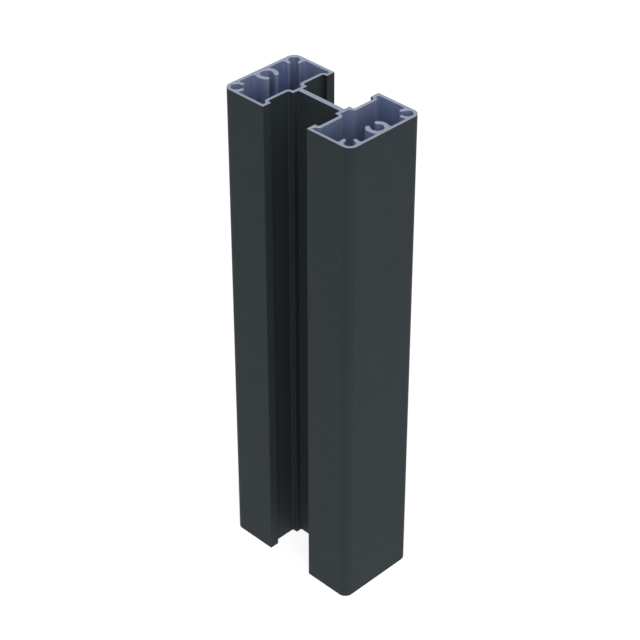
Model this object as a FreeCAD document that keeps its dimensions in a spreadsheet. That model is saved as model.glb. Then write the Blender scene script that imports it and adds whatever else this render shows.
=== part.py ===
import FreeCAD, Part
import math
import os

import Sketcher

# Fence post for a run of panels, extruded in one piece of aluminium.
# Two hollow chambers stand back to back, with a web between them. The web is the floor of two
# grooves, one for the panel on each side. Each chamber holds three screw ports, open along their length.
# X runs through the thickness of the fence, Y along the fence, and Z up the post.
# The origin is the middle of the post at its lower cut end. The section is the same in all
# four quarters, so one quarter is drawn and mirrored twice.

SIZES = [
    ("post_length", "293"),  # from one saw cut to the other
    ("width", "90"),  # through the fence, over both chambers
    ("depth", "51"),  # along the fence, over the groove lips
    ("corner_radius", "5"),  # outer corners
    ("wall", "1.8"),
    ("web", "3"),
    ("groove_mouth", "30.8"),  # clear width between the lips
    ("lip_length", "5.85"),  # from the outer face to the undercut
    ("undercut", "2.55"),  # how far the groove widens behind a lip
    ("pad_rise", "3.2"),  # how far the pad at the web stands out of the undercut
    ("pad_width", "10.3"),  # both halves of the pad, across the web
    ("edge_radius", "0.4"),  # outward edges of the groove
    ("web_fillet", "0.5"),
    ("groove_fillet", "1"),  # inward corners of the undercut
    ("chamber_fillet", "0.6"),
    ("port_fillet", "1"),  # where a port's arms spring from the walls
    ("corner_bore", "3.1"),  # radius of the ports in the outer corners
    ("middle_bore", "3.55"),  # radius of the port in the middle of the outer wall
    ("middle_ring", "6"),  # outer radius of that port
    ("port_mouth", "88"),  # degrees between the ends of a port's arms
]

# Each face of the quarter lies at its own distance from the middle planes
FACES = {
    "outer_x": "Sizes.width / 2",
    "outer_y": "Sizes.depth / 2",
    "web_y": "Sizes.web / 2",
    "mouth_x": "Sizes.groove_mouth / 2",
    "lip_y": "Sizes.depth / 2 - Sizes.lip_length",
    "undercut_x": "Sizes.groove_mouth / 2 + Sizes.undercut",
    "pad_x": "Sizes.groove_mouth / 2 + Sizes.undercut - Sizes.pad_rise",
    "pad_y": "Sizes.pad_width / 2",
    "chamber_outer_x": "Sizes.width / 2 - Sizes.wall",
    "chamber_side_y": "Sizes.depth / 2 - Sizes.wall",
    "chamber_lip_x": "Sizes.groove_mouth / 2 + Sizes.wall",
    "chamber_undercut_x": "Sizes.groove_mouth / 2 + Sizes.undercut + Sizes.wall",
    "chamber_pad_x": "Sizes.groove_mouth / 2 + Sizes.undercut - Sizes.pad_rise + Sizes.wall",
}

# Circles of the quarter: the wall keeps its thickness round each bend, and a corner port is
# concentric with the outer corner and as large outside
RADII = {
    "corner": "Sizes.corner_radius",
    "edge": "Sizes.edge_radius",
    "web_root": "Sizes.web_fillet",
    "groove": "Sizes.groove_fillet",
    "bend": "Sizes.groove_fillet + Sizes.wall",
    "chamber": "Sizes.chamber_fillet",
    "root": "Sizes.port_fillet",
    "corner_bore": "Sizes.corner_bore",
    "middle_bore": "Sizes.middle_bore",
    "middle_ring": "Sizes.middle_ring",
}

# Places along the section that no single face gives
PLACES = {
    "lip_bend_y": "Sizes.depth / 2 - Sizes.lip_length - Sizes.groove_fillet",
    "pad_bend_y": "Sizes.pad_width / 2 + Sizes.groove_fillet",
    "middle_port_x": "Sizes.width / 2 - Sizes.middle_ring",
    "middle_tip_y": "(Sizes.middle_bore + Sizes.middle_ring) / 2 * sin(Sizes.port_mouth / 2 * 1deg)",
    "corner_tip_x": "Sizes.width / 2 - Sizes.corner_radius"
    " - (Sizes.corner_bore + Sizes.corner_radius) / 2 * sin((45 - Sizes.port_mouth / 2) * 1deg)",
    "corner_tip_y": "Sizes.depth / 2 - Sizes.corner_radius"
    " - (Sizes.corner_bore + Sizes.corner_radius) / 2 * sin((45 - Sizes.port_mouth / 2) * 1deg)",
}

START, END, CENTRE = 1, 2, 3
ORIGIN = (-1, START)
X_AXIS = -1
UP = FreeCAD.Vector(0, 0, 1)


def point(x, y):
    return FreeCAD.Vector(x, y, 0)


class Pen:
    # Draws the outline as one chain of faces and arcs. Every face and radius is tied to the sheet
    # as it is drawn, and each arc runs smoothly into its neighbours.

    def __init__(self, sketch, start):
        self.sketch = sketch
        self.here = start
        self.first = None
        self.last = None

    def constrain(self, kind, *where):
        return self.sketch.addConstraint(Sketcher.Constraint(kind, *where))

    def bind(self, kind, where, text):
        number = self.constrain(kind, *where, float(self.sketch.evalExpression(text)))
        self.sketch.setExpression("Constraints[%d]" % number, text)

    def add(self, shape, start, end, there, smooth):
        piece = self.sketch.addGeometry(shape)
        if self.last:
            self.constrain("Tangent" if smooth else "Coincident", *self.last, piece, start)
        else:
            self.first = (piece, start)
        self.last = (piece, end)
        self.here = there
        return piece

    def line(self, there, face=None, smooth=True):
        upright = abs(there.x - self.here.x) < abs(there.y - self.here.y)
        piece = self.add(Part.LineSegment(self.here, there), START, END, there, smooth)
        self.constrain("Vertical" if upright else "Horizontal", piece)
        if face:
            self.bind("DistanceX" if upright else "DistanceY", (*ORIGIN, piece, START), FACES[face])
        return piece

    def arc(self, middle, there, left, radius=None, smooth=True):
        # An arc that turns left runs counter-clockwise, as the arc itself is stored
        first, last = (self.here, there) if left else (there, self.here)
        angles = [math.atan2(end.y - middle.y, end.x - middle.x) for end in (first, last)]
        circle = Part.Circle(middle, UP, middle.distanceToPoint(there))
        ends = (START, END) if left else (END, START)
        piece = self.add(Part.ArcOfCircle(circle, *angles), *ends, there, smooth)
        if radius:
            self.bind("Radius", (piece,), RADII[radius])
        return piece

    def corner(self, face, corner, away, radius_name, radius):
        # A straight face up to a rounded corner, which then turns towards the next point
        back = (self.here - corner).normalize() * radius
        ahead = (away - corner).normalize() * radius
        self.line(corner + back, face)
        left = back.cross(ahead).z < 0
        return self.arc(corner + back + ahead, corner + ahead, left, radius_name)

    def close(self):
        self.constrain("Coincident", *self.last, *self.first)


def beside(ring, ring_radius, level, fillet, upright):
    # How far a fillet's centre lies from a ring's centre, across and along. The fillet touches the
    # ring from outside, so the centres are as far apart as both radii together, and its own centre
    # keeps to an upright line, or else to a level one.
    offset = level - (ring.x if upright else ring.y)
    along = math.sqrt((ring_radius + fillet) ** 2 - offset ** 2)
    return offset, along


def facing(middle, radius, other):
    # The point of a circle that faces another place
    return middle + (other - middle).normalize() * radius


def draw_groove_side(pen, at, size):
    # From the web out to the pad, the undercut, the lip and round the outer corner
    pad_root = point(at["pad_x"], at["web_y"])
    pad_edge = point(at["pad_x"], at["pad_y"])
    undercut_root = point(at["undercut_x"], at["pad_y"])
    undercut_end = point(at["undercut_x"], at["lip_y"])
    lip_edge = point(at["mouth_x"], at["lip_y"])
    mouth_edge = point(at["mouth_x"], at["outer_y"])
    outer_corner = point(at["outer_x"], at["outer_y"])
    pen.corner("web_y", pad_root, pad_edge, "web_root", size["web_root"])
    pen.corner("pad_x", pad_edge, undercut_root, "edge", size["edge"])
    pen.corner("pad_y", undercut_root, undercut_end, "groove", size["groove"])
    pen.corner("undercut_x", undercut_end, lip_edge, "groove", size["groove"])
    pen.corner("lip_y", lip_edge, mouth_edge, "edge", size["edge"])
    pen.corner("mouth_x", mouth_edge, outer_corner, "edge", size["edge"])
    return pen.corner("outer_y", outer_corner, point(at["outer_x"], 0), "corner", size["corner"])


def draw_middle_port(pen, at, size):
    # Half of the port in the middle of the outer wall: its bore, its rounded tip and its back
    middle = point(at["middle_port_x"], 0)
    half_arm = (size["middle_ring"] - size["middle_bore"]) / 2
    tip_radius = size["middle_bore"] + half_arm
    tip_y = at["middle_tip_y"]
    tip = middle + point(-math.sqrt(tip_radius ** 2 - tip_y ** 2), tip_y)
    offset, along = beside(
        middle, size["middle_ring"], at["chamber_outer_x"] - size["root"], size["root"], True
    )
    root = middle + point(offset, along)
    pen.line(middle + point(size["middle_bore"], 0), smooth=False)
    bore = pen.arc(middle, facing(middle, size["middle_bore"], tip), True, "middle_bore", smooth=False)
    end = pen.arc(tip, facing(middle, size["middle_ring"], tip), False)
    ring = pen.arc(middle, facing(middle, size["middle_ring"], root), False, "middle_ring")
    pen.arc(root, root + point(size["root"], 0), True, "root")
    pen.bind("DistanceX", (*ORIGIN, bore, CENTRE), PLACES["middle_port_x"])
    pen.constrain("PointOnObject", bore, CENTRE, X_AXIS)
    pen.constrain("Coincident", bore, CENTRE, ring, CENTRE)
    pen.bind("DistanceY", (*ORIGIN, end, CENTRE), PLACES["middle_tip_y"])


def draw_corner_port(pen, at, size, outer_corner):
    # The port inside the outer corner: the arm on the outer wall, the bore, then the arm on the side wall
    middle = point(at["outer_x"] - size["corner"], at["outer_y"] - size["corner"])
    tip_radius = (size["corner_bore"] + size["corner"]) / 2
    drop = middle.x - at["corner_tip_x"]
    along_tip = math.sqrt(tip_radius ** 2 - drop ** 2)
    outer_tip = middle + point(-drop, -along_tip)
    side_tip = middle + point(-along_tip, -drop)
    offset, along = beside(
        middle, size["corner"], at["chamber_outer_x"] - size["root"], size["root"], True
    )
    outer_root = middle + point(offset, -along)
    offset, along = beside(
        middle, size["corner"], at["chamber_side_y"] - size["root"], size["root"], False
    )
    side_root = middle + point(-along, offset)
    pen.line(outer_root + point(size["root"], 0), "chamber_outer_x")
    pen.arc(outer_root, facing(outer_root, size["root"], middle), True, "root")
    outer_arm = pen.arc(middle, facing(middle, size["corner"], outer_tip), False)
    outer_end = pen.arc(outer_tip, facing(middle, size["corner_bore"], outer_tip), False)
    bore = pen.arc(middle, facing(middle, size["corner_bore"], side_tip), True, "corner_bore")
    side_end = pen.arc(side_tip, facing(middle, size["corner"], side_tip), False)
    side_arm = pen.arc(middle, facing(middle, size["corner"], side_root), False)
    pen.arc(side_root, side_root + point(0, size["root"]), True, "root")
    for arc in (bore, outer_arm, side_arm):
        pen.constrain("Coincident", outer_corner, CENTRE, arc, CENTRE)
    for arc in (outer_arm, side_arm):
        pen.constrain("Equal", outer_corner, arc)
    pen.bind("DistanceX", (*ORIGIN, outer_end, CENTRE), PLACES["corner_tip_x"])
    pen.bind("DistanceY", (*ORIGIN, side_end, CENTRE), PLACES["corner_tip_y"])


def draw_chamber_side(pen, at, size):
    # Inside of the chamber, along the side wall and back beside the groove. At the lip and at the
    # pad the wall swings over in two arcs that touch, with no straight between them.
    lip_bend = point(at["chamber_undercut_x"] - size["bend"], at["lip_bend_y"])
    pad_bend = point(at["chamber_undercut_x"] - size["bend"], at["pad_bend_y"])
    offset, along = beside(
        lip_bend, size["bend"], at["chamber_lip_x"] + size["chamber"], size["chamber"], True
    )
    lip_root = lip_bend + point(offset, along)
    offset, along = beside(
        pad_bend, size["bend"], at["chamber_pad_x"] + size["chamber"], size["chamber"], True
    )
    pad_root = pad_bend + point(offset, -along)
    corner = point(at["chamber_lip_x"], at["chamber_side_y"])
    pen.corner("chamber_side_y", corner, point(corner.x, 0), "chamber", size["chamber"])
    pen.line(lip_root - point(size["chamber"], 0), "chamber_lip_x")
    pen.arc(lip_root, facing(lip_root, size["chamber"], lip_bend), True, "chamber")
    upper = pen.arc(lip_bend, lip_bend + point(size["bend"], 0), False, "bend")
    pen.line(pad_bend + point(size["bend"], 0), "chamber_undercut_x")
    lower = pen.arc(pad_bend, facing(pad_bend, size["bend"], pad_root), False, "bend")
    pen.arc(pad_root, pad_root - point(size["chamber"], 0), True, "chamber")
    pen.line(point(at["chamber_pad_x"], 0), "chamber_pad_x")
    pen.bind("DistanceY", (*ORIGIN, upper, CENTRE), PLACES["lip_bend_y"])
    pen.bind("DistanceY", (*ORIGIN, lower, CENTRE), PLACES["pad_bend_y"])


def draw_quarter(sketch):
    at = {name: float(sketch.evalExpression(text)) for name, text in {**FACES, **PLACES}.items()}
    size = {name: float(sketch.evalExpression(text)) for name, text in RADII.items()}
    pen = Pen(sketch, point(0, at["web_y"]))
    outer_corner = draw_groove_side(pen, at, size)
    outer_face = pen.line(point(at["outer_x"], 0), "outer_x")
    draw_middle_port(pen, at, size)
    draw_corner_port(pen, at, size, outer_corner)
    draw_chamber_side(pen, at, size)
    inner = pen.line(point(0, 0), smooth=False)
    pen.line(point(0, at["web_y"]), smooth=False)
    pen.close()
    pen.constrain("PointOnObject", outer_face, END, X_AXIS)
    pen.constrain("Coincident", inner, END, *ORIGIN)


def make_sheet(document):
    sheet = document.addObject("Spreadsheet::Sheet", "Sizes")
    for row, (name, value) in enumerate(SIZES, start=1):
        sheet.set("A%d" % row, name.replace("_", " "))
        sheet.set("B%d" % row, value)
        sheet.setAlias("B%d" % row, name)
    document.recompute()


def plane(body, role):
    return next(item for item in body.Origin.OriginFeatures if item.Role == role)


def mirror(document, body, name, role):
    # Mirrors the whole solid so far, and joins both halves into one
    feature = body.newObject("PartDesign::Mirrored", name)
    feature.TransformMode = "Whole shape"
    feature.MirrorPlane = (plane(body, role), [""])
    feature.Refine = True
    body.Tip = feature
    document.recompute()


def make_post(document):
    body = document.addObject("PartDesign::Body", "Post")
    body.Label = "post_extrusion"
    section = body.newObject("Sketcher::SketchObject", "QuarterSection")
    section.AttachmentSupport = (plane(body, "XY_Plane"), [""])
    section.MapMode = "FlatFace"
    draw_quarter(section)
    quarter = body.newObject("PartDesign::Pad", "QuarterExtrusion")
    quarter.Profile = section
    quarter.setExpression("Length", "Sizes.post_length")
    body.Tip = quarter
    document.recompute()
    mirror(document, body, "AlongFence", "XZ_Plane")
    mirror(document, body, "ThroughFence", "YZ_Plane")
    body.Placement = FreeCAD.Placement()
    return body


def check(document, bodies):
    failed = [item.Name for item in document.Objects if {"Invalid", "Error"} & set(item.State)]
    loose = [
        item.Name
        for item in document.Objects
        if item.TypeId == "Sketcher::SketchObject" and not item.FullyConstrained
    ]
    empty = [body.Label for body in bodies if body.Shape.isNull() or not body.Shape.isValid()]
    if failed or loose or empty:
        raise RuntimeError("failed %s, loose sketches %s, bad shapes %s" % (failed, loose, empty))


def main():
    document = FreeCAD.newDocument("FencePost")
    make_sheet(document)
    bodies = [make_post(document)]
    document.recompute()
    check(document, bodies)
    os.makedirs("parts", exist_ok=True)
    for body in bodies:
        body.Shape.exportStep("parts/%s.step" % body.Label)
        print(body.Label, len(body.Shape.Solids), "solid,", round(body.Shape.Volume), "cubic mm")


main()
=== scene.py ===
import math

import bpy
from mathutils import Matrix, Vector


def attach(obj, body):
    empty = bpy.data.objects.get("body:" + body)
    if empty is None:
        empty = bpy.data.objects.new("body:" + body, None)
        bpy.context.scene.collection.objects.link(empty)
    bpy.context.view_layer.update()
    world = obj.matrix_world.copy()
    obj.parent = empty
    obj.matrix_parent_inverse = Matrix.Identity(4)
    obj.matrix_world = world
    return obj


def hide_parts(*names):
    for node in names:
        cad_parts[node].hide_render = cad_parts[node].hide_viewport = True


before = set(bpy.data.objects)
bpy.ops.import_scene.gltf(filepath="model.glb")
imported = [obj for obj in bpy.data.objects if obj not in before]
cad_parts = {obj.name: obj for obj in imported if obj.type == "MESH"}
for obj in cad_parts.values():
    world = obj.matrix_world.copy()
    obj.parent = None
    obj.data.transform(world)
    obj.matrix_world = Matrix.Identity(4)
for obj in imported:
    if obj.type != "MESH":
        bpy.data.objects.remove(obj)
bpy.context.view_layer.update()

scene = bpy.context.scene
mm = 0.001  # one millimetre, in Blender's metres


# Helpers for every piece

def linear(hexColour):
    # An sRGB hex colour as the linear colour that the shaders take
    channels = [int(hexColour[i:i + 2], 16) / 255 for i in (1, 3, 5)]
    return tuple(c / 12.92 if c <= 0.04045 else ((c + 0.055) / 1.055) ** 2.4 for c in channels) + (1,)


def add(tree, kind, inputs=None, **settings):
    # A node with its settings; an input is either a value or another node's output to link
    node = tree.nodes.new(kind)
    for name, value in settings.items():
        setattr(node, name, value)
    for socket, value in (inputs or {}).items():
        if isinstance(value, bpy.types.NodeSocket):
            tree.links.new(value, node.inputs[socket])
        else:
            node.inputs[socket].default_value = value
    return node


def emptyMaterial(name):
    material = bpy.data.materials.new(name)
    material.use_nodes = True
    material.node_tree.nodes.clear()
    return material, material.node_tree


# The post's section: a web between two chambers, with a groove for a board on each side

post = {  # millimetres, and degrees for the ports' mouths and the arcs
    "length": 293, "width": 90, "depth": 51, "cornerRadius": 5, "wall": 1.8, "web": 3,
    "grooveMouth": 30.8, "lipLength": 5.85, "undercut": 2.55, "padRise": 3.2, "padWidth": 10.3,
    "edgeRadius": 0.4, "webFillet": 0.5, "grooveFillet": 1, "chamberFillet": 0.6, "portFillet": 1,
    "cornerBore": 3.1, "middleBore": 3.55, "middleRing": 6, "portMouth": 88,
    "deburr": 0.1,          # the small bevel that a brush leaves on the cut edges
    "coatThickness": 0.06,  # powder coat on the outside, seen edge on at the cut
    "arcStep": 4,           # degrees between two points of an arc, at most
    "fewestSteps": 4,       # in any arc, however short
    "crispAngle": 30,       # an edge that turns by more degrees than this stays sharp
    "weld": 0.002,          # points nearer than this become one
}

outerX, outerY = post["width"] / 2, post["depth"] / 2
webY, padY = post["web"] / 2, post["padWidth"] / 2
mouthX = post["grooveMouth"] / 2
undercutX = mouthX + post["undercut"]
padX = undercutX - post["padRise"]
lipY = outerY - post["lipLength"]


def onCircle(centre, radius, degrees):
    turn = math.radians(degrees)
    return centre + radius * Vector((math.cos(turn), math.sin(turn)))


def sweep(centre, radius, start, end):
    # Points of an arc from one angle to another, clockwise where the end is the smaller
    steps = max(post["fewestSteps"], math.ceil(abs(end - start) / post["arcStep"]))
    return [onCircle(centre, radius, start + (end - start) * i / steps) for i in range(steps + 1)]


def bearing(fromPlace, toPlace):
    return math.degrees(math.atan2(toPlace.y - fromPlace.y, toPlace.x - fromPlace.x))


def leg(longest, other):
    # The third side of a right-angled triangle
    return math.sqrt(longest ** 2 - other ** 2)


def roundedRun(corners):
    # A run of square corners, each (x, y, radius); the first and last stay as they are
    points = [Vector(corners[0][:2])]
    for before, (x, y, radius), after in zip(corners, corners[1:], corners[2:]):
        corner = Vector((x, y))
        back = (Vector(before[:2]) - corner).normalized() * radius
        ahead = (Vector(after[:2]) - corner).normalized() * radius
        centre = corner + back + ahead
        start = bearing(centre, corner + back)
        turn = (bearing(centre, corner + ahead) - start + 180) % 360 - 180
        points += sweep(centre, radius, start, start + turn)
    return points + [Vector(corners[-1][:2])]


def armTip(centre, bore, ring, degrees, fromBore):
    # The round end of a port's arm, clockwise from one side of the arm to the other
    tip = onCircle(centre, (bore + ring) / 2, degrees)
    start = degrees - 180 if fromBore else degrees
    return sweep(tip, (ring - bore) / 2, start, start - 180)


def quarterOutside():
    edge, groove = post["edgeRadius"], post["grooveFillet"]
    return roundedRun([
        (0, webY, 0), (padX, webY, post["webFillet"]), (padX, padY, edge), (undercutX, padY, groove),
        (undercutX, lipY, groove), (mouthX, lipY, edge), (mouthX, outerY, edge),
        (outerX, outerY, post["cornerRadius"]), (outerX, 0, 0),
    ])


def quarterChamber():
    # Half of a chamber's edge: its middle port, corner port, and the back of the lip and undercut
    wall, root, fillet = post["wall"], post["portFillet"], post["chamberFillet"]
    halfMouth = post["portMouth"] / 2
    bore, ring = post["middleBore"], post["middleRing"]
    port = Vector((outerX - ring, 0))
    armEnd = 180 - halfMouth
    rootX = outerX - wall - root
    rootCentre = Vector((rootX, leg(ring + root, rootX - port.x)))
    away = bearing(port, rootCentre)
    points = sweep(port, bore, 0, armEnd) + armTip(port, bore, ring, armEnd, True)
    points += sweep(port, ring, armEnd, away) + sweep(rootCentre, root, away - 180, 0)

    bore, ring = post["cornerBore"], post["cornerRadius"]
    port = Vector((outerX - ring, outerY - ring))
    mouth = -135  # degrees: it opens away from the post's corner
    armStart, armEnd = mouth + halfMouth, mouth + 360 - halfMouth
    drop = leg(ring + root, rootX - port.x)
    lowRoot = Vector((rootX, port.y - drop))
    sideRoot = Vector((port.x - drop, outerY - wall - root))
    lowTurn, sideTurn = bearing(port, lowRoot), bearing(port, sideRoot)
    points += sweep(lowRoot, root, 0, lowTurn + 180) + sweep(port, ring, lowTurn, armStart)
    points += armTip(port, bore, ring, armStart, False) + sweep(port, bore, armStart, armEnd)
    points += armTip(port, bore, ring, armEnd, True) + sweep(port, ring, armEnd, sideTurn)
    points += sweep(sideRoot, root, sideTurn - 180, 90)

    # The wall keeps its thickness round the groove's fillets
    groove = post["grooveFillet"]
    bend = groove + wall
    lipX, padRootX = mouthX + wall + fillet, padX + wall + fillet
    points += sweep(Vector((lipX, outerY - wall - fillet)), fillet, 90, 180)
    lipBend = Vector((undercutX - groove, lipY - groove))
    padBend = Vector((lipBend.x, padY + groove))
    lipRoot = lipBend + Vector((lipX - lipBend.x, leg(bend + fillet, lipX - lipBend.x)))
    padRoot = padBend + Vector((padRootX - padBend.x, -leg(bend + fillet, padRootX - padBend.x)))
    lipTurn, padTurn = bearing(lipBend, lipRoot), bearing(padBend, padRoot)
    points += sweep(lipRoot, fillet, 180, lipTurn + 180) + sweep(lipBend, bend, lipTurn, 0)
    points += sweep(padBend, bend, 0, padTurn) + sweep(padRoot, fillet, padTurn + 180, 180)
    return points + [Vector((padX + wall, 0))]


def mirrored(points, x, y):
    # Turned round as well, so that the metal stays on the same side of the line
    return [Vector((p.x * x, p.y * y)) for p in reversed(points)]


def closedLoop(points):
    # Without the doubles where one arc ends and the next begins
    apart = 1e-5  # mm
    loop = []
    for p in points:
        if not loop or (p - loop[-1]).length > apart:
            loop.append(p)
    return loop[:-1] if (loop[0] - loop[-1]).length < apart else loop


def sectionLoops():
    # (points, whether powder coated) of the outside and of both chambers, metal on the right
    outside, chamber = quarterOutside(), quarterChamber()
    half = outside + mirrored(outside, 1, -1)
    right = chamber + mirrored(chamber, 1, -1)
    return [(closedLoop(half + mirrored(half, -1, 1)), True),
            (closedLoop(right), False), (closedLoop(mirrored(right, -1, 1)), False)]


def intoMetal(loop):
    # For each point, the shift that moves both its edges 1 mm into the metal
    shifts = []
    for i, here in enumerate(loop):
        ahead = (loop[(i + 1) % len(loop)] - here).normalized()
        behind = (here - loop[i - 1]).normalized()
        sides = [Vector((d.y, -d.x)) for d in (behind, ahead)]
        shifts.append((sides[0] + sides[1]) / (1 + sides[0].dot(sides[1])))
    return shifts


def sectionMesh():
    mesh = bpy.data.meshes.new("postSection")
    places, edges, inward, coated = [], [], [], []
    for loop, coat in sectionLoops():
        first, count = len(places), len(loop)
        places += [(p.x * mm, p.y * mm, 0) for p in loop]
        edges += [(first + i, first + (i + 1) % count) for i in range(count)]
        inward += [(s.x, s.y, 0) for s in intoMetal(loop)]
        coated += [coat] * count
    mesh.from_pydata(places, edges, [])
    for name, kind, field, values in (("inward", "FLOAT_VECTOR", "vector", [v for s in inward for v in s]),
                                      ("coated", "BOOLEAN", "value", coated)):
        mesh.attributes.new(name, kind, "POINT").data.foreach_set(field, values)
    return mesh


def extrusionTree():
    # Draws the section out to its length, bevels the cut edges, closes both ends and sets the finishes
    tree = bpy.data.node_groups.new("extrudeSection", "GeometryNodeTree")
    tree.is_modifier = True
    for name, kind in (("Section", "NodeSocketGeometry"), ("Length", "NodeSocketFloat"),
                       ("Deburr", "NodeSocketFloat"), ("Coat thickness", "NodeSocketFloat"),
                       ("Outside", "NodeSocketMaterial"), ("Chambers", "NodeSocketMaterial"),
                       ("Cut ends", "NodeSocketMaterial")):
        tree.interface.new_socket(name, in_out="INPUT", socket_type=kind)
    tree.interface.new_socket("Post", in_out="OUTPUT", socket_type="NodeSocketGeometry")
    given = add(tree, "NodeGroupInput").outputs
    length, deburr, coat = given["Length"], given["Deburr"], given["Coat thickness"]
    inward, coated = (
        add(tree, "GeometryNodeInputNamedAttribute", {"Name": name}, data_type=kind).outputs[0]
        for name, kind in (("inward", "FLOAT_VECTOR"), ("coated", "BOOLEAN")))

    # The bare part of the bevel, the two steps outwards, the height between the bevels, and half the length
    bare = add(tree, "ShaderNodeMath", {0: deburr, 1: coat}, operation="SUBTRACT").outputs[0]
    lessBare, lessCoat, tall, half = (
        add(tree, "ShaderNodeMath", dict(enumerate(values)), operation="MULTIPLY_ADD").outputs[0]
        for values in ((bare, -1, 0), (coat, -1, 0), (deburr, -2, length), (length, 0.5, 0)))

    def shift(into, rise):
        side = add(tree, "ShaderNodeVectorMath", {0: inward, "Scale": into}, operation="SCALE").outputs[0]
        up = add(tree, "ShaderNodeCombineXYZ", {"Z": rise}).outputs[0]
        return add(tree, "ShaderNodeVectorMath", {0: side, 1: up}, operation="ADD").outputs[0]

    edge = add(tree, "GeometryNodeSetPosition",
               {"Geometry": given["Section"], "Offset": shift(deburr, 0)}).outputs[0]
    flat = add(tree, "GeometryNodeMeshToCurve", {"Mesh": edge}).outputs[0]
    flat = add(tree, "GeometryNodeFillCurve", {"Curve": flat}).outputs[0]

    walls, top = edge, None
    for into, rise in ((lessBare, bare), (lessCoat, coat), (0, tall), (coat, coat), (bare, bare)):
        pulled = add(tree, "GeometryNodeExtrudeMesh", {"Mesh": walls, "Offset Scale": 0}, mode="EDGES")
        if top:
            tree.links.new(top, pulled.inputs["Selection"])
        top = pulled.outputs["Top"]
        walls = add(tree, "GeometryNodeSetPosition", {
            "Geometry": pulled.outputs["Mesh"], "Selection": top, "Offset": shift(into, rise)}).outputs[0]

    raised = add(tree, "ShaderNodeCombineXYZ", {"Z": length}).outputs[0]
    topCap = add(tree, "GeometryNodeTransform", {"Geometry": flat, "Translation": raised}).outputs[0]
    baseCap = add(tree, "GeometryNodeFlipFaces", {"Mesh": flat}).outputs[0]
    whole = add(tree, "GeometryNodeJoinGeometry")
    for part in (walls, topCap, baseCap):
        tree.links.new(part, whole.inputs[0])
    body = add(tree, "GeometryNodeMergeByDistance",
               {"Geometry": whole.outputs[0], "Distance": post["weld"] * mm}).outputs[0]

    # Arcs are shaded smooth and true edges stay crisp
    body = add(tree, "GeometryNodeSetShadeSmooth",
               {"Geometry": body, "Shade Smooth": True}, domain="FACE").outputs[0]
    angle = add(tree, "GeometryNodeInputMeshEdgeAngle").outputs["Unsigned Angle"]
    crisp = add(tree, "ShaderNodeMath",
                {0: angle, 1: math.radians(post["crispAngle"])}, operation="GREATER_THAN").outputs[0]
    body = add(tree, "GeometryNodeSetShadeSmooth",
               {"Geometry": body, "Selection": crisp, "Shade Smooth": False}, domain="EDGE").outputs[0]

    # Whatever lies within the bare part of the bevel of an end is saw-cut metal
    position = add(tree, "GeometryNodeInputPosition").outputs[0]
    height = add(tree, "ShaderNodeSeparateXYZ", {0: position}).outputs["Z"]
    fromHalf = add(tree, "ShaderNodeMath", {0: height, 1: half}, operation="SUBTRACT").outputs[0]
    fromHalf = add(tree, "ShaderNodeMath", {0: fromHalf}, operation="ABSOLUTE").outputs[0]
    uncut = add(tree, "ShaderNodeMath", {0: half, 1: bare}, operation="SUBTRACT").outputs[0]
    atEnd = add(tree, "ShaderNodeMath", {0: fromHalf, 1: uncut}, operation="GREATER_THAN").outputs[0]
    body = add(tree, "GeometryNodeRealizeInstances", {"Geometry": body}).outputs[0]
    for where, finish in ((True, "Chambers"), (coated, "Outside"), (atEnd, "Cut ends")):
        body = add(tree, "GeometryNodeSetMaterial",
                   {"Geometry": body, "Selection": where, "Material": given[finish]}).outputs[0]
    tree.links.new(body, add(tree, "NodeGroupOutput").inputs["Post"])
    return tree


# Finishes

noiseBand = (0.3, 0.7)  # nearly all of a noise lies between these


def surface(tree, look, tone, wear, relief, constants):
    # The end of every finish: the colour follows tone, the roughness follows wear
    colour = add(tree, "ShaderNodeMix",
                 {0: tone, 6: linear(look["dark"]), 7: linear(look["light"])}, data_type="RGBA").outputs[2]
    rough = add(tree, "ShaderNodeMapRange", {
        "Value": wear, "From Min": noiseBand[0], "From Max": noiseBand[1],
        "To Min": look["roughness"][0], "To Max": look["roughness"][1]}).outputs[0]
    shader = add(tree, "ShaderNodeBsdfPrincipled",
                 {"Base Color": colour, "Roughness": rough, "Normal": relief, **constants})
    add(tree, "ShaderNodeOutputMaterial", {"Surface": shader.outputs[0]})


coatLook = {  # widths and heights in millimetres
    "light": "#2D3336", "dark": "#272D31",  # anthracite grey; the noises keep near the middle of the two
    "roughness": (0.52, 0.62), "shine": 0.06, "ior": 1.5,
    "cloudWidth": 45, "hazeWidth": 6,  # in the colour, and in the roughness
    "peelWidth": 1.8, "peelHeight": 0.006, "grainWidth": 0.35, "grainHeight": 0.008,
}


def powderCoat():
    # Polyester powder coat, sprayed and baked: a satin dark grey, with a faint orange peel
    material, tree = emptyMaterial("anthracitePowderCoat")
    place = add(tree, "ShaderNodeTexCoord").outputs["Object"]

    noises = {
        name: add(tree, "ShaderNodeTexNoise", {
            "Vector": place, "Scale": 1 / (coatLook[name + "Width"] * mm), "Detail": detail}).outputs[0]
        for name, detail in (("cloud", 2), ("haze", 3), ("peel", 2), ("grain", 2))}
    mottle = add(tree, "ShaderNodeMix", {0: 0.5, 2: noises["cloud"], 3: noises["grain"]}).outputs[0]
    peel = add(tree, "ShaderNodeBump",
               {"Height": noises["peel"], "Distance": coatLook["peelHeight"] * mm}).outputs[0]
    relief = add(tree, "ShaderNodeBump", {
        "Height": noises["grain"], "Distance": coatLook["grainHeight"] * mm, "Normal": peel}).outputs[0]
    surface(tree, coatLook, mottle, noises["haze"], relief,
            {"Specular IOR Level": coatLook["shine"], "IOR": coatLook["ior"]})
    return material


millLook = {  # lengths in millimetres
    "light": "#AFBBD6", "dark": "#A7B3CE", "roughness": (0.44, 0.54),
    "lineWidth": 0.5,  # real die lines are near 0.1; wider here, to show
    "lineLength": 160, "lineDepth": 0.002,
}


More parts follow.
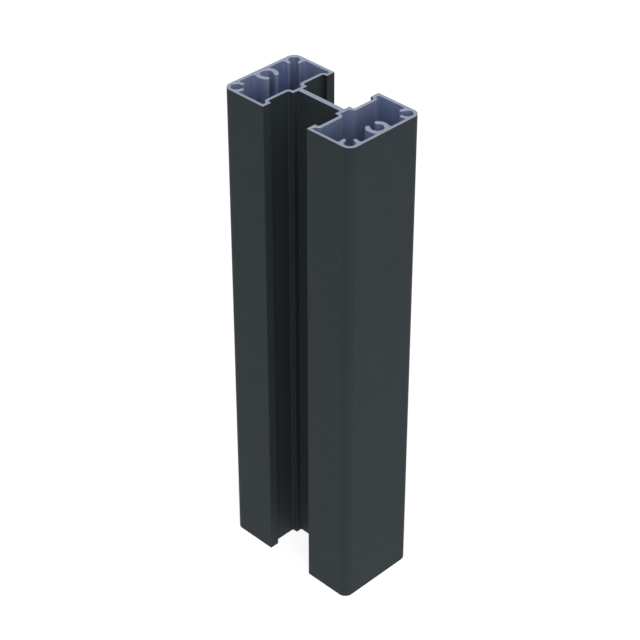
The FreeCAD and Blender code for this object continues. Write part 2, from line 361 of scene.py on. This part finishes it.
def millFinish():
    # Aluminium as it leaves the die: bare, bluish grey, with fine lines along its length
    material, tree = emptyMaterial("millFinishAluminium")
    place = add(tree, "ShaderNodeTexCoord").outputs["Object"]
    width, along = 1 / (millLook["lineWidth"] * mm), 1 / (millLook["lineLength"] * mm)
    drawn = add(tree, "ShaderNodeMapping", {"Vector": place, "Scale": (width, width, along)}).outputs[0]
    lines = add(tree, "ShaderNodeTexNoise", {"Vector": drawn, "Scale": 1, "Detail": 3}).outputs[0]
    relief = add(tree, "ShaderNodeBump", {"Height": lines, "Distance": millLook["lineDepth"] * mm}).outputs[0]
    surface(tree, millLook, lines, lines, relief, {"Metallic": 1})
    return material


cutLook = {  # lengths in millimetres
    "light": "#979FAF", "dark": "#8F97A7", "roughness": (0.4, 0.52),
    "bladeCentre": (-120, -210),  # from the post's axis; the marks are arcs round it
    "toothMark": 0.7,  # real marks are near 0.3 apart; wider here, to show
    "markDepth": 0.003,
}


def sawCut():
    # Aluminium sawn square: bright bare metal, with shallow arcs where the blade passed
    material, tree = emptyMaterial("sawCutAluminium")
    place = add(tree, "ShaderNodeTexCoord").outputs["Object"]
    level = add(tree, "ShaderNodeVectorMath", {0: place, 1: (1, 1, 0)}, operation="MULTIPLY").outputs[0]
    centre = tuple(v * mm for v in cutLook["bladeCentre"]) + (0,)
    reach = add(tree, "ShaderNodeVectorMath", {0: level, 1: centre}, operation="DISTANCE").outputs["Value"]
    marks = add(tree, "ShaderNodeTexNoise", {
        "W": reach, "Scale": 1 / (cutLook["toothMark"] * mm), "Detail": 3}, noise_dimensions="1D").outputs[0]
    relief = add(tree, "ShaderNodeBump", {"Height": marks, "Distance": cutLook["markDepth"] * mm}).outputs[0]
    surface(tree, cutLook, marks, marks, relief, {"Metallic": 1})
    return material


def makePost():
    inputs = {
        "Outside": powderCoat(), "Chambers": millFinish(), "Cut ends": sawCut(),
        "Length": post["length"] * mm, "Deburr": post["deburr"] * mm,
        "Coat thickness": post["coatThickness"] * mm,
    }
    tree = extrusionTree()
    draft = bpy.data.objects.new("postDraft", sectionMesh())
    scene.collection.objects.link(draft)
    extrude = draft.modifiers.new("extrude", "NODES")
    extrude.node_group = tree
    sockets = {item.name: item.identifier for item in tree.interface.items_tree if item.in_out == "INPUT"}
    for name, value in inputs.items():
        extrude[sockets[name]] = value
    shade = draft.modifiers.new("flatFacesFlat", "WEIGHTED_NORMAL")
    shade.keep_sharp = True
    bpy.context.view_layer.update()
    made = draft.evaluated_get(bpy.context.evaluated_depsgraph_get())
    mesh = bpy.data.meshes.new_from_object(made)
    for slot in reversed(range(len(mesh.materials))):
        if mesh.materials[slot] is None:
            mesh.materials.pop(index=slot)
    piece = bpy.data.objects.new("fencePost", mesh)
    scene.collection.objects.link(piece)
    bpy.data.objects.remove(draft)
    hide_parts("post_extrusion")
    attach(piece, "root")
    return piece


piece = makePost()
print("post:", len(piece.data.polygons), "faces, finishes", [m.name for m in piece.data.materials])


# Studio: pale floor, white background, soft lamps

studio = {
    "floorSize": 2.4,   # metres
    "floorDrop": 0.05,  # millimetres below the post, so that the two faces stay apart
    "floorForShade": 1.47, "skyForShade": 0.17,  # the light that each sheds on the post
    "floorWhite": 0.84,       # the floor's own light to the camera
    "floorPaper": "#AAAAAA",  # and its grey, which takes the lamps' light and the post's shadow
    "lamps": (  # name, azimuth and elevation in degrees, distance and size in metres, watts
        ("keySoftbox", 45, 45, 2.2, 2, 23.4),
        ("sideSoftbox", 75, 25, 2.2, 2, 11.9),
        ("rightSoftbox", 105, 45, 2.2, 2, 9),
        ("leftRearFill", 285, 8, 2.2, 1, 13),
        ("rightRearFill", 165, 8, 2.2, 1, 3),
    ),
}


def direction(azimuth, elevation):
    a, e = math.radians(azimuth), math.radians(elevation)
    return Vector((math.sin(a) * math.cos(e), -math.cos(a) * math.cos(e), math.sin(e)))


def shownDirectly(tree):
    # 1 for rays that show the background itself: the camera's, reflections and glass
    path = add(tree, "ShaderNodeLightPath").outputs
    seen = path["Is Camera Ray"]
    for other in ("Is Glossy Ray", "Is Transmission Ray"):
        seen = add(tree, "ShaderNodeMath", {0: seen, 1: path[other]}, operation="MAXIMUM").outputs[0]
    return seen


def makeFloor():
    size, drop = studio["floorSize"] / 2, -studio["floorDrop"] * mm
    mesh = bpy.data.meshes.new("floor")
    corners = [(x * size, y * size, drop) for x, y in ((-1, -1), (1, -1), (1, 1), (-1, 1))]
    mesh.from_pydata(corners, [], [(0, 1, 2, 3)])
    material, tree = emptyMaterial("whitePaperSweep")
    seen = shownDirectly(tree)
    glow = add(tree, "ShaderNodeEmission", {"Strength": studio["floorForShade"]}).outputs[0]
    paper = add(tree, "ShaderNodeBsdfDiffuse", {"Color": linear(studio["floorPaper"])}).outputs[0]
    white = add(tree, "ShaderNodeEmission", {"Strength": studio["floorWhite"]}).outputs[0]
    white = add(tree, "ShaderNodeAddShader", {0: paper, 1: white}).outputs[0]
    mixed = add(tree, "ShaderNodeMixShader", {0: seen, 1: glow, 2: white}).outputs[0]

    # From underneath the floor is clear, so that it isn't in the way
    below = add(tree, "ShaderNodeNewGeometry").outputs["Backfacing"]
    clear = add(tree, "ShaderNodeBsdfTransparent").outputs[0]
    mixed = add(tree, "ShaderNodeMixShader", {0: below, 1: mixed, 2: clear}).outputs[0]
    add(tree, "ShaderNodeOutputMaterial", {"Surface": mixed})
    material.cycles.emission_sampling = "NONE"
    mesh.materials.append(material)
    floor = bpy.data.objects.new("floor", mesh)
    scene.collection.objects.link(floor)


def makeWorld():
    world = bpy.data.worlds.new("whiteStudio")
    world.use_nodes = True
    tree = world.node_tree
    tree.nodes.clear()
    seen = shownDirectly(tree)
    light, white = (
        add(tree, "ShaderNodeBackground", {"Color": linear("#FFFFFF"), "Strength": strength}).outputs[0]
        for strength in (studio["skyForShade"], 1))
    mixed = add(tree, "ShaderNodeMixShader", {0: seen, 1: light, 2: white}).outputs[0]
    add(tree, "ShaderNodeOutputWorld", {"Surface": mixed})
    world.cycles.sampling_method = "NONE"
    scene.world = world


def makeLamps(aim):
    for name, azimuth, elevation, distance, size, watts in studio["lamps"]:
        lamp = bpy.data.lights.new(name, "AREA")
        lamp.size, lamp.energy = size, watts
        holder = bpy.data.objects.new(name, lamp)
        away = direction(azimuth, elevation)
        holder.location = aim + away * distance
        holder.rotation_euler = (-away).to_track_quat("-Z", "Y").to_euler()
        scene.collection.objects.link(holder)


# Camera, at the angle that the photograph was taken from

shot = {
    "azimuth": 44.906, "elevation": 35.381, "distance": 1.0728,  # degrees, and metres from the post's middle
    "aimRight": -0.5, "aimUp": 9.24,  # millimetres past the post's middle
    "focalLength": 111.14, "sensor": 36,  # millimetres
    "clip": (0.05, 50),  # metres
}


def makeCamera(middle):
    back = direction(shot["azimuth"], shot["elevation"])
    right = direction(shot["azimuth"] + 90, 0)
    up = back.cross(right)
    camera = bpy.data.cameras.new("camera")
    camera.lens, camera.sensor_width = shot["focalLength"], shot["sensor"]
    camera.clip_start, camera.clip_end = shot["clip"]
    holder = bpy.data.objects.new("camera", camera)
    holder.location = middle + (right * shot["aimRight"] + up * shot["aimUp"]) * mm + back * shot["distance"]
    holder.rotation_euler = (-back).to_track_quat("-Z", "Y").to_euler()
    scene.collection.objects.link(holder)
    scene.camera = holder


middle = Vector((0, 0, post["length"] / 2 * mm))
makeFloor()
makeWorld()
makeLamps(middle)
makeCamera(middle)
scene.view_settings.view_transform = "Standard"
print("studio: floor, world,", len(studio["lamps"]), "lamps and the camera")
